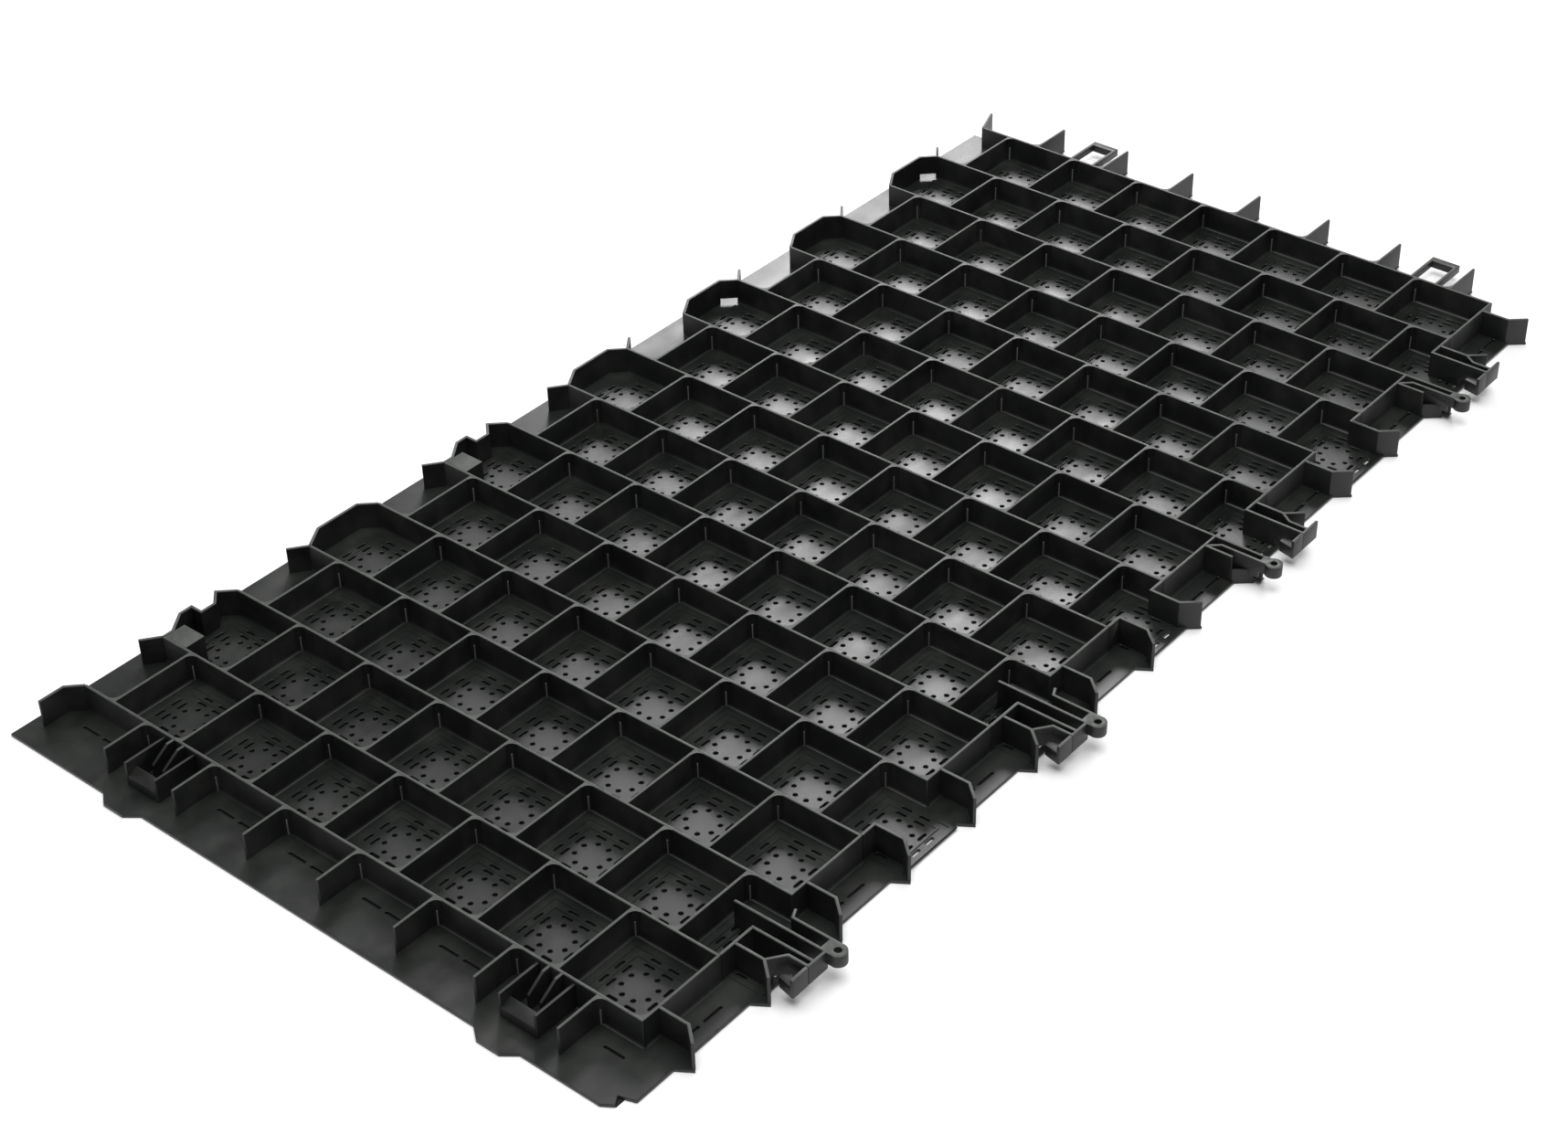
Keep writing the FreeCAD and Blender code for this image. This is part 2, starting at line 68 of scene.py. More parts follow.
def span(node, axis):
    low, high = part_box(node)
    return low[axis], high[axis]


# Places that the frame gives.
FIRST_LINE = sum(span("transverse_wall_01", 1)) / 2.0
LAST_LINE = sum(span("transverse_wall_%02d" % (ROWS + 1), 1)) / 2.0
PITCH = (LAST_LINE - FIRST_LINE) / ROWS
WALL_T = span("transverse_wall_01", 1)[1] - span("transverse_wall_01", 1)[0]
FLOOR_Z, TOP_Z = span("transverse_wall_01", 2)
LEFT_END, RIGHT_END = span("transverse_wall_01", 0)
NOSE_END = span("transverse_wall_%02d" % (ROWS_B[0] + 1), 0)[1]
HALF = WALL_T / 2.0
RISER_X = RIGHT_END - HALF
FIRST_COL = sum(span("cross_walls_row_02", 0)) / 2.0 - (COLUMNS - 1) / 2.0 * PITCH
NEAR_EDGE = span("floor_section_1", 1)[0]

SINK = 0.3 * MM             # walls stand this deep in the floor, so no light passes below them
UNDER = 0.04 * MM           # a wall that ends in another is this much lower
TUCK = 0.6 * MM             # a web or fin reaches this far into its wall
SAME = 1e-5                 # points closer than this are taken as one
RIDGE_RISE = 0.55 * MM      # floor ridges: height, and inner and outer reach from the cell's centre
RIDGE_REACHES = ((16.9 * MM, 19.3 * MM), (22.4 * MM, 26.6 * MM))
WEB_LEG = 5.0 * MM          # corner web along each wall
BEAD_RADIUS = 0.5 * MM
BEAD_SHARE = 0.58           # bead height as a share of the wall's
BEAD_EASE = 0.3 * MM
# lighter colour of the web beads: a painted highlight streak
BEAD_HIGHLIGHT_COLOUR = (0.11, 0.115, 0.105)
TOP_HIGHLIGHT_DEPTH = 0.5 * MM       # the band of painted highlight at the top of a wall
# the same band of painted highlight at the top of the spring tongues
TONGUE_HIGHLIGHT_DEPTH = 0.3 * MM


def line_y(k):
    return FIRST_LINE + k * PITCH


def col_x(n):
    return FIRST_COL + n * PITCH


# --- sizes and colours that a user would change ------------------------------
class MouldedEdges(bpy.types.PropertyGroup):
    """Roundings of the moulding."""
    top_round: FloatProperty(name="Top rounding", description="Radius along the wall tops",
                             default=0.45 * MM, unit="LENGTH", precision=5)
    foot_cove: FloatProperty(name="Foot cove", description="Radius of the cove where a wall meets the floor",
                             default=2.4 * MM, unit="LENGTH", precision=5)
    small_cove: FloatProperty(name="Small cove", description="Cove of the pegs, wings and latch bars",
                              default=0.8 * MM, unit="LENGTH", precision=5)
    hole_rim: FloatProperty(name="Hole rim", description="Bevel around the drain holes",
                            default=0.3 * MM, unit="LENGTH", precision=5)


class DrainHoles(bpy.types.PropertyGroup):
    """Perforations of the floor."""
    round_diameter: FloatProperty(name="Round hole", description="Diameter of a round drain hole",
                                  default=3.0 * MM, unit="LENGTH", precision=5)
    ring_radius: FloatProperty(name="Ring radius", description="Radius of the ring of round holes",
                               default=10.8 * MM, unit="LENGTH", precision=5)
    ring_count: IntProperty(name="Ring count", description="Round holes in one cell", default=8)
    slot_length: FloatProperty(name="Slot length", description="Length of a short slot",
                               default=7.5 * MM, unit="LENGTH", precision=5)
    slot_width: FloatProperty(name="Slot width", description="Width of a slot",
                              default=2.0 * MM, unit="LENGTH", precision=5)
    inner_row: FloatProperty(name="Inner slot row", description="Inner slot row from the cell's centre",
                             default=15.4 * MM, unit="LENGTH", precision=5)
    outer_row: FloatProperty(name="Outer slot row", description="Outer slot row from the cell's centre",
                             default=20.8 * MM, unit="LENGTH", precision=5)
    slot_side: FloatProperty(name="Slot side step", description="Slot centre from the cell's centre line",
                             default=6.6 * MM, unit="LENGTH", precision=5)
    bay_slot_length: FloatProperty(name="Bay slot length", description="Length of the slots in the edge bays",
                                   default=15.0 * MM, unit="LENGTH", precision=5)
    bay_slot_out: FloatProperty(name="Bay slot distance", description="Bay slot from the first long wall",
                                default=13.5 * MM, unit="LENGTH", precision=5)
    bay_slot_side: FloatProperty(name="Bay slot side step", description="Bay slot from the bay's centre line",
                                 default=9.5 * MM, unit="LENGTH", precision=5)


class Finish(bpy.types.PropertyGroup):
    """Colours and gloss of the plastic and the stage."""
    wall_colour: FloatVectorProperty(name="Walls", description="Recycled black plastic of the walls",
                                     subtype="COLOR", size=3, default=(0.0042, 0.0052, 0.0045))
    floor_colour: FloatVectorProperty(name="Floor", description="Black plastic of the floor",
                                      subtype="COLOR", size=3, default=(0.0065, 0.0078, 0.0068))
    # Painted highlight: the lighter colour of the wall tops stands in for the light they catch.
    top_highlight_colour: FloatVectorProperty(name="Painted top highlight", description="Painted highlight on the wall tops",
                                     subtype="COLOR", size=3, default=(0.055, 0.06, 0.055))
    dust_colour: FloatVectorProperty(name="Dust", description="Thin dust film on flat faces",
                                     subtype="COLOR", size=3, default=(0.05, 0.052, 0.046))
    wall_roughness: FloatProperty(name="Wall roughness", description="Gloss of the walls",
                                  default=0.46, min=0.0, max=1.0)
    floor_roughness: FloatProperty(name="Floor roughness", description="Gloss of the floor",
                                   default=0.3, min=0.0, max=1.0)
    stage_colour: FloatVectorProperty(name="Stage", description="Pale studio floor",
                                      subtype="COLOR", size=3, default=(0.9, 0.9, 0.9))


def edges():
    return bpy.context.scene.moulded_edges


def holes():
    return bpy.context.scene.drain_holes


def finish():
    return bpy.context.scene.panel_finish


# --- materials ---------------------------------------------------------------
def add_node(tree, kind, **inputs):
    node = tree.nodes.new(kind)
    for name, value in inputs.items():
        node.inputs[name.replace("_", " ")].default_value = value
    return node


def noise(tree, coords, scale, detail=3.0):
    node = add_node(tree, "ShaderNodeTexNoise", Scale=scale, Detail=detail)
    tree.links.new(coords, node.inputs["Vector"])
    return node.outputs["Fac"]


def remap(tree, value, from_low, from_high, to_low, to_high):
    node = tree.nodes.new("ShaderNodeMapRange")
    tree.links.new(value, node.inputs["Value"])
    for name, number in (("From Min", from_low), ("From Max", from_high),
                         ("To Min", to_low), ("To Max", to_high)):
        node.inputs[name].default_value = number
    return node.outputs["Result"]


def blend_colours(tree, factor, low, high):
    node = tree.nodes.new("ShaderNodeMix")
    node.data_type = "RGBA"
    tree.links.new(factor, node.inputs[0])
    for socket, value in ((node.inputs[6], low), (node.inputs[7], high)):
        if isinstance(value, bpy.types.NodeSocket):
            tree.links.new(value, socket)
        else:
            socket.default_value = (*value, 1.0)
    return node.outputs[2]


def calculate(tree, operation, a, b):
    node = tree.nodes.new("ShaderNodeMath")
    node.operation = operation
    for socket, value in ((node.inputs[0], a), (node.inputs[1], b)):
        if isinstance(value, bpy.types.NodeSocket):
            tree.links.new(value, socket)
        else:
            socket.default_value = value
    return node.outputs[0]


# Noise scales of the plastic, per metre.
FLOW_SCALE = 38.0
DUST_SCALE = 42.0
SPECK_SCALE = 1500.0
HIGHLIGHT_PATCH_SCALE = 240.0
GRAIN_SCALE = 900.0
DENT_SCALE = 60.0


def plastic(name, colour, roughness, top_z, highlight_depth):
    """Moulded black plastic: flow marks, a dust film, fine grain, and a painted highlight in noisy patches
    along the upper edges.
    """
    material = bpy.data.materials.get(name)
    if material:
        return material
    material = bpy.data.materials.new(name)
    material.use_nodes = True
    tree = material.node_tree
    tree.nodes.clear()
    look = finish()
    coords = tree.nodes.new("ShaderNodeTexCoord").outputs["Object"]
    split = tree.nodes.new("ShaderNodeSeparateXYZ")
    tree.links.new(coords, split.inputs[0])
    stretched = add_node(tree, "ShaderNodeMapping", Scale=(1.0, 0.25, 1.0))
    tree.links.new(coords, stretched.inputs["Vector"])
    flow = noise(tree, stretched.outputs[0], FLOW_SCALE, 4.0)
    dust = noise(tree, coords, DUST_SCALE, 6.0)
    specks = noise(tree, coords, SPECK_SCALE, 2.0)
    base = blend_colours(tree, remap(tree, flow, 0.3, 0.7, 0.0, 1.0), colour, [c * 1.9 for c in colour])
    film = calculate(tree, "MULTIPLY", remap(tree, dust, 0.45, 0.8, 0.0, 0.5),
                     remap(tree, specks, 0.35, 0.75, 0.4, 1.0))
    dusty = blend_colours(tree, film, base, tuple(look.dust_colour))
    # Painted highlight: a lighter band along the top of the part, in noisy patches, for the light caught by
    # the wall tops.
    top_band = remap(tree, split.outputs["Z"], top_z - highlight_depth, top_z - highlight_depth * 0.4, 0.0, 1.0)
    highlight_patches = remap(tree, noise(tree, coords, HIGHLIGHT_PATCH_SCALE, 4.0), 0.3, 0.7, 0.55, 1.0)
    patchy_highlight = calculate(tree, "MULTIPLY", top_band, highlight_patches)
    tint = blend_colours(tree, patchy_highlight, dusty, tuple(look.top_highlight_colour))
    shader = add_node(tree, "ShaderNodeBsdfPrincipled", IOR=1.46)
    tree.links.new(tint, shader.inputs["Base Color"])
    gloss = remap(tree, flow, 0.25, 0.75, roughness - 0.06, roughness + 0.1)
    dull = calculate(tree, "MULTIPLY", film, 0.25)
    tree.links.new(calculate(tree, "ADD", gloss, dull), shader.inputs["Roughness"])
    grain = add_node(tree, "ShaderNodeBump", Strength=0.18, Distance=0.00012)
    fine = noise(tree, coords, GRAIN_SCALE, 3.0)
    dents = calculate(tree, "MULTIPLY", noise(tree, coords, DENT_SCALE, 3.0), 2.0)
    tree.links.new(calculate(tree, "ADD", fine, dents), grain.inputs["Height"])
    tree.links.new(grain.outputs[0], shader.inputs["Normal"])
    out = tree.nodes.new("ShaderNodeOutputMaterial")
    tree.links.new(shader.outputs[0], out.inputs["Surface"])
    return material


def wall_plastic():
    look = finish()
    return plastic("black_rib_plastic", tuple(look.wall_colour), look.wall_roughness, TOP_Z, TOP_HIGHLIGHT_DEPTH)


def floor_plastic():
    look = finish()
    return plastic("black_floor_plastic", tuple(look.floor_colour), look.floor_roughness, TOP_Z, TOP_HIGHLIGHT_DEPTH)


# Lighter plastic of the beads: a painted highlight streak on the corner webs.
def bead_highlight_plastic():
    return plastic("painted_highlight_bead_plastic", BEAD_HIGHLIGHT_COLOUR, 0.4, TOP_Z, TOP_HIGHLIGHT_DEPTH)


def tongue_plastic():
    look = finish()
    return plastic("black_tongue_plastic", tuple(look.wall_colour), look.wall_roughness,
                   span("snap_tongue_1", 2)[1], TONGUE_HIGHLIGHT_DEPTH)


# --- mesh helpers ------------------------------------------------------------
class Shape:
    """Vertices and faces of one piece while it is put together."""

    def __init__(self):
        self.points = []
        self.faces = []

    def loft(self, rings):
        """Joins closed rings of points, and closes the first and the last one."""
        start = len(self.points)
        size = len(rings[0])
        for ring in rings:
            self.points += ring
        for r in range(len(rings) - 1):
            for i in range(size):
                a = start + r * size + i
                b = start + r * size + (i + 1) % size
                self.faces.append((a, b, b + size, a + size))
        last = start + (len(rings) - 1) * size
        self.faces.append(tuple(start + i for i in reversed(range(size))))
        self.faces.append(tuple(last + i for i in range(size)))

    def mesh(self, name):
        mesh = bpy.data.meshes.new(name)
        mesh.from_pydata(self.points, [], self.faces)
        mesh.validate()
        return mesh


def finish_piece(name, mesh, material, body, replaced):
    """Puts a finished mesh into the scene on its body, in place of its nodes."""
    obj = bpy.data.objects.new(name, mesh)
    bpy.context.scene.collection.objects.link(obj)
    mesh.materials.clear()
    mesh.materials.append(material)
    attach(obj, body)
    if replaced:
        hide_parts(*replaced)
    return obj


def shade(mesh, degrees=35.0):
    """Smooth shading across small angles only."""
    mesh.polygons.foreach_set("use_smooth", [True] * len(mesh.polygons))
    mesh.set_sharp_from_angle(angle=math.radians(degrees))


def wall_side(low, high, top_round, cove):
    """One side of a wall's section, foot to top, as (offset, height) pairs."""
    side = []
    if cove > 0.0:
        for i in range(5):
            a = math.radians(90.0 * i / 4.0)
            side.append((HALF + cove * (1.0 - math.sin(a)), low + cove * (1.0 - math.cos(a))))
    else:
        side.append((HALF, low))
    for i in range(4):
        a = math.radians(90.0 * i / 3.0)
        side.append((HALF - top_round * (1.0 - math.cos(a)), high - top_round * (1.0 - math.sin(a))))
    return side


def path_frames(path):
    """Sideways direction and mitre stretch at each point of a plan polyline."""
    frames = []
    last = len(path) - 1
    for i in range(len(path)):
        normals = []
        for a, b in ((i - 1, i), (i, i + 1)):
            if a < 0 or b > last:
                continue
            run = Vector(path[b]) - Vector(path[a])
            run.normalize()
            normals.append(Vector((-run.y, run.x)))
        mean = sum(normals, Vector((0.0, 0.0))).normalized()
        frames.append((mean, 1.0 / mean.dot(normals[0])))
    return frames


def add_wall(shape, path, low, high, cove=0.0, round_ends=(True, True)):
    """A thin wall along a plan polyline, with a rounded top, a cove at its foot and eased ends."""
    ease = edges().top_round
    side = wall_side(low, high, ease, cove)
    frames = path_frames(path)
    stations = [(Vector(point), frames[i], 0.0) for i, point in enumerate(path)]
    for end, index, other in ((0, 0, path[1]), (1, len(path) - 1, path[-2])):
        if not round_ends[end]:
            continue
        here = Vector(path[index])
        inward = (Vector(other) - here).normalized()
        stations[-1 if end else 0] = (here, frames[index], ease)
        stations.insert(len(stations) - 1 if end else 1, (here + inward * ease, frames[index], 0.0))
    rings = []
    for point, (sideways, stretch), inset in stations:
        flanks = []
        for sign in (-1.0, 1.0):
            flank = []
            for offset, z in side:
                flat = point + sideways * (sign * max(offset - inset, 0.1 * HALF) * stretch)
                flank.append((flat.x, flat.y, min(z, high - inset)))
            flanks.append(flank)
        rings.append(flanks[0] + flanks[1][::-1])
    shape.loft(rings)


def add_prism(shape, outline, low, high, ease):
    """Upright prism over a plan outline (anticlockwise), with its upper edge eased."""
    centre = Vector((sum(p[0] for p in outline), sum(p[1] for p in outline))) / len(outline)
    inset = []
    for x, y in outline:
        run = centre - Vector((x, y))
        inset.append(Vector((x, y)) + run.normalized() * min(ease, run.length * 0.5))
    rings = [[(x, y, low) for x, y in outline], [(x, y, high - ease) for x, y in outline],
             [(p.x, p.y, high) for p in inset]]
    shape.loft(rings)


def add_ridge(shape, inner, outer, low, high):
    """A low square ring with sloping sides."""
    slope = (high - low) * 0.8
    start = len(shape.points)
    for reach, z in ((outer, low), (outer - slope, high), (inner + slope, high), (inner, low)):
        shape.points += [(reach, reach, z), (-reach, reach, z), (-reach, -reach, z), (reach, -reach, z)]
    for loop in range(4):
        for i in range(4):
            a = start + loop * 4 + i
            b = start + loop * 4 + (i + 1) % 4
            c = start + (loop + 1) % 4 * 4 + (i + 1) % 4
            d = start + (loop + 1) % 4 * 4 + i
            shape.faces.append((a, b, c, d))


# --- geometry nodes ----------------------------------------------------------
def new_tree(name, inputs):
    """Geometry node tree with named inputs: (name, socket type, default)."""
    tree = bpy.data.node_groups.new(name, "GeometryNodeTree")
    tree.interface.new_socket("Geometry", in_out="INPUT", socket_type="NodeSocketGeometry")
    tree.interface.new_socket("Geometry", in_out="OUTPUT", socket_type="NodeSocketGeometry")
    for label, kind, default in inputs:
        socket = tree.interface.new_socket(label, in_out="INPUT", socket_type=kind)
        socket.default_value = default
    start = tree.nodes.new("NodeGroupInput")
    end = tree.nodes.new("NodeGroupOutput")
    return tree, start, end


def geo(tree, kind, links=None, **values):
    """Adds a node; links maps a socket to an output, values set the rest."""
    node = tree.nodes.new(kind)
    for name, value in values.items():
        setattr(node, name, value)
    for socket, source in (links or {}).items():
        if isinstance(source, bpy.types.NodeSocket):
            tree.links.new(source, node.inputs[socket])
        else:
            node.inputs[socket].default_value = source
    return node


def kind_is(tree, value):
    """True on the points whose 'kind' attribute has this value."""
    read = geo(tree, "GeometryNodeInputNamedAttribute", {"Name": "kind"}, data_type="INT")
    test = tree.nodes.new("FunctionNodeCompare")
    test.data_type = "INT"
    test.operation = "EQUAL"
    tree.links.new(read.outputs["Attribute"], test.inputs[2])
    test.inputs[3].default_value = value
    return test.outputs[0]


OUTLINE, ROUND, SLOT_X, SLOT_Y, BAY_SLOT, BAY_SLOT_Y = range(6)


def perforated_sheet_tree(material):
    """Turns an outline and hole centres into a flat sheet of the given thickness."""
    settings = holes()
    tree, start, end = new_tree("perforated_sheet", [
        ("Round Diameter", "NodeSocketFloat", settings.round_diameter),
        ("Slot Length", "NodeSocketFloat", settings.slot_length),
        ("Slot Width", "NodeSocketFloat", settings.slot_width),
        ("Bay Slot Length", "NodeSocketFloat", settings.bay_slot_length),
        ("Thickness", "NodeSocketFloat", FLOOR_Z),
        ("Material", "NodeSocketMaterial", material),
    ])
    source = start.outputs["Geometry"]
    outline = geo(tree, "GeometryNodeMeshToCurve", {"Mesh": source, "Selection": kind_is(tree, OUTLINE)})
    radius = geo(tree, "ShaderNodeMath", {0: start.outputs["Round Diameter"], 1: 2.0}, operation="DIVIDE")
    ring = geo(tree, "GeometryNodeCurvePrimitiveCircle", {"Resolution": 14, "Radius": radius.outputs[0]})
    corner = geo(tree, "ShaderNodeMath", {0: start.outputs["Slot Width"], 1: 0.49}, operation="MULTIPLY")
    collected = [outline.outputs[0]]
    shapes = [(ROUND, ring.outputs[0])]
    for kind, wide, high in ((SLOT_X, "Slot Length", "Slot Width"), (SLOT_Y, "Slot Width", "Slot Length"),
                             (BAY_SLOT, "Bay Slot Length", "Slot Width"),
                             (BAY_SLOT_Y, "Slot Width", "Bay Slot Length")):
        box = geo(tree, "GeometryNodeCurvePrimitiveQuadrilateral",
                  {"Width": start.outputs[wide], "Height": start.outputs[high]})
        soft = geo(tree, "GeometryNodeFilletCurve",
                   {"Curve": box.outputs[0], "Radius": corner.outputs[0], "Count": 3}, mode="POLY")
        shapes.append((kind, soft.outputs[0]))
    for kind, curve in shapes:
        spread = geo(tree, "GeometryNodeInstanceOnPoints",
                     {"Points": source, "Selection": kind_is(tree, kind), "Instance": curve})
        real = geo(tree, "GeometryNodeRealizeInstances", {"Geometry": spread.outputs[0]})
        collected.append(real.outputs[0])
    together = tree.nodes.new("GeometryNodeJoinGeometry")
    for output in collected:
        tree.links.new(output, together.inputs[0])
    filled = geo(tree, "GeometryNodeFillCurve", {"Curve": together.outputs[0]})
    grown = geo(tree, "GeometryNodeExtrudeMesh",
                {"Mesh": filled.outputs[0], "Offset Scale": start.outputs["Thickness"], "Individual": False})
    under = geo(tree, "GeometryNodeFlipFaces", {"Mesh": filled.outputs[0]})
    sheet = tree.nodes.new("GeometryNodeJoinGeometry")
    tree.links.new(grown.outputs["Mesh"], sheet.inputs[0])
    tree.links.new(under.outputs[0], sheet.inputs[0])
    merged = geo(tree, "GeometryNodeMergeByDistance", {"Geometry": sheet.outputs[0], "Distance": SAME})
    real = geo(tree, "GeometryNodeRealizeInstances", {"Geometry": merged.outputs[0]})
    coloured = geo(tree, "GeometryNodeSetMaterial", {"Geometry": real.outputs[0],
                   "Material": start.outputs["Material"]})
    tree.links.new(coloured.outputs[0], end.inputs[0])
    return tree


def rib_copies_tree(name, rib, material):
    """Sets one rib on every point of the incoming mesh."""
    tree, start, end = new_tree(name, [
        ("Rib", "NodeSocketObject", rib),
        ("Scale", "NodeSocketFloat", 1.0),
        ("Material", "NodeSocketMaterial", material),
    ])
    info = geo(tree, "GeometryNodeObjectInfo", {"Object": start.outputs["Rib"]})
    spread = geo(tree, "GeometryNodeInstanceOnPoints", {"Points": start.outputs["Geometry"],
                 "Instance": info.outputs["Geometry"], "Scale": start.outputs["Scale"]})
    real = geo(tree, "GeometryNodeRealizeInstances", {"Geometry": spread.outputs[0]})
    coloured = geo(tree, "GeometryNodeSetMaterial", {"Geometry": real.outputs[0],
                   "Material": start.outputs["Material"]})
    tree.links.new(coloured.outputs[0], end.inputs[0])
    return tree


def baked(name, mesh, tree):
    """Runs a node tree on a mesh and returns the plain result."""
    obj = bpy.data.objects.new(name, mesh)
    bpy.context.scene.collection.objects.link(obj)
    modifier = obj.modifiers.new("tree", "NODES")
    modifier.node_group = tree
    depsgraph = bpy.context.evaluated_depsgraph_get()
    result = bpy.data.meshes.new_from_object(obj.evaluated_get(depsgraph))
    result.name = name
    bpy.data.objects.remove(obj)
    return result


def copies(name, shape, places, body, replaced, material=None):
    """A rib repeated at several places, as one piece."""
    material = material or wall_plastic()
    rib = bpy.data.objects.new(name + "_rib", shape.mesh(name + "_rib"))
    bpy.context.scene.collection.objects.link(rib)
    points = bpy.data.meshes.new(name + "_places")
    points.from_pydata(places, [], [])
    mesh = baked(name, points, rib_copies_tree(name + "_copies", rib, material))
    bpy.data.objects.remove(rib)
    shade(mesh)
    return finish_piece(name, mesh, material, body, replaced)


# --- the floor ---------------------------------------------------------------
def is_even(row):
    return row % 2 == 0


def cross_columns(row):
    if is_even(row):
        return [col_x(n) - PITCH / 2.0 for n in range(COLUMNS + 1)]
    return [col_x(n) for n in range(COLUMNS)]


def cell_centres(row):
    columns = cross_columns(row)
    centres = [x + PITCH / 2.0 for x in columns if x < RISER_X - HALF]
    if not is_even(row):
        centres.insert(0, columns[0] - PITCH / 2.0)
    return centres


def hole_points():
    """Centre and kind of every perforation."""
    settings = holes()
    points = []
    for row in range(ROWS):
        yc = line_y(row + 0.5)
        for xc in cell_centres(row):
            for n in range(settings.ring_count):
                a = (n + 0.5) * math.tau / settings.ring_count
                points.append((xc + settings.ring_radius * math.cos(a),
                               yc + settings.ring_radius * math.sin(a), ROUND))
            for along in (-settings.slot_side, settings.slot_side):
                for reach in (settings.inner_row, settings.outer_row):
                    for out in (-reach, reach):
                        points.append((xc + along, yc + out, SLOT_X))
                        points.append((xc + out, yc + along, SLOT_Y))
    for n in range(-1, COLUMNS):
        xc = col_x(n) + PITCH / 2.0
        for step in (-settings.bay_slot_side, settings.bay_slot_side):
            if n not in SNAP_BAYS and xc + step < RISER_X:
                points.append((xc + step, FIRST_LINE - settings.bay_slot_out, BAY_SLOT))
    for row in range(0, ROWS, 2):
        for step in (-settings.bay_slot_side, settings.bay_slot_side):
            points.append((RISER_X + settings.bay_slot_out, line_y(row + 0.5) + step, BAY_SLOT_Y))
    return points


def sheet_outline(node):
    """Plan outline of a floor section, read from the lower rim of its CAD solid."""
    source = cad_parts[node].data
    flat = [tuple(round(c, 6) for c in v.co) for v in source.vertices]
    uses = {}
    for polygon in source.polygons:
        corners = [flat[i] for i in polygon.vertices]
        if any(abs(c[2]) > SAME for c in corners):
            continue
        for a, b in zip(corners, corners[1:] + corners[:1]):
            edge = (min(a, b), max(a, b))
            uses[edge] = uses.get(edge, 0) + 1
    neighbours = {}
    for (a, b), times in uses.items():
        if times == 1:
            neighbours.setdefault(a, []).append(b)
            neighbours.setdefault(b, []).append(a)
    loops = []
    left = set(neighbours)
    while left:
        loop = [min(left)]
        left.discard(loop[0])
        step = [p for p in neighbours[loop[0]] if p in left]
        while step:
            loop.append(step[0])
            left.discard(step[0])
            step = [p for p in neighbours[step[0]] if p in left]
        loops.append(loop)
    widest = max(loops, key=lambda loop: max(p[0] for p in loop) - min(p[0] for p in loop))
    return [(p[0], p[1]) for p in widest]


def ease_rims(mesh, width, ends):
    """Bevels the upper rims of the holes and of the outline, but not the seam between two sections."""
    sheet = bmesh.new()
    sheet.from_mesh(mesh)
    rims = []
    for edge in sheet.edges:
        a, b = edge.verts[0].co, edge.verts[1].co
        level = min(a.z, b.z) > FLOOR_Z - SAME
        seam = abs(a.y - b.y) < SAME and min(abs(a.y - y) for y in ends) < SAME
        if level and not seam and edge.is_manifold and edge.calc_face_angle() > 1.0:
            rims.append(edge)
    bmesh.ops.bevel(sheet, geom=rims, offset=width, offset_type="OFFSET", segments=1, profile=0.5,
                    affect="EDGES", clamp_overlap=False)
    sheet.to_mesh(mesh)
    sheet.free()


class PANEL_OT_floor(bpy.types.Operator):
    """Builds the perforated floor in its four lengths"""
    bl_idname = "panel.floor"
    bl_label = "Floor"

    def execute(self, context):
        tree = perforated_sheet_tree(floor_plastic())
        every = hole_points()
        for index in range(1, 5):
            node = "floor_section_%d" % index
            y0, y1 = span(node, 1)
            if index > 1:
                y0 = span("floor_section_%d" % (index - 1), 1)[1]
            outline = sheet_outline(node)
            inside = [p for p in every if y0 < p[1] < y1]
            mesh = bpy.data.meshes.new(node + "_plan")
            total = len(outline)
            points = [(p[0], p[1], 0.0) for p in outline + inside]
            mesh.from_pydata(points, [(i, (i + 1) % total) for i in range(total)], [])
            kinds = mesh.attributes.new("kind", "INT", "POINT")
            kinds.data.foreach_set("value", [OUTLINE] * total + [p[2] for p in inside])
            result = baked("floor_sheet_%d" % index, mesh, tree)
            ease_rims(result, edges().hole_rim, span(node, 1))
            shade(result, 30.0)
            finish_piece("floor_sheet_%d" % index, result, floor_plastic(), "panel", [node])
        return {"FINISHED"}


class PANEL_OT_floor_ridges(bpy.types.Operator):
    """Builds the low square ridges between the slot rows of each cell"""
    bl_idname = "panel.floor_ridges"
    bl_label = "Floor ridges"

    def execute(self, context):
        shape = Shape()
        for inner, outer in RIDGE_REACHES:
            add_ridge(shape, inner, outer, FLOOR_Z - SINK, FLOOR_Z + RIDGE_RISE)
        places = [(x, line_y(row + 0.5), 0.0) for row in range(ROWS) for x in cell_centres(row)]
        copies("floor_ridges", shape, places, "panel", [], floor_plastic())
        return {"FINISHED"}


# --- walls -------------------------------------------------------------------
class PANEL_OT_long_walls(bpy.types.Operator):
    """Builds the sixteen long walls"""
    bl_idname = "panel.long_walls"
    bl_label = "Long walls"

    def execute(self, context):
        normal = [k for k in range(ROWS + 1) if k not in ROWS_B]
        for name, lines, right in (("long_walls", normal, RIGHT_END),
                                   ("long_walls_with_nose", ROWS_B, NOSE_END)):
            shape = Shape()
            add_wall(shape, [(LEFT_END, 0.0), (right, 0.0)], FLOOR_Z - SINK, TOP_Z, edges().foot_cove)
            nodes = ["transverse_wall_%02d" % (k + 1) for k in lines]
            copies(name, shape, [(0.0, line_y(k), 0.0) for k in lines], "panel", nodes)
        return {"FINISHED"}


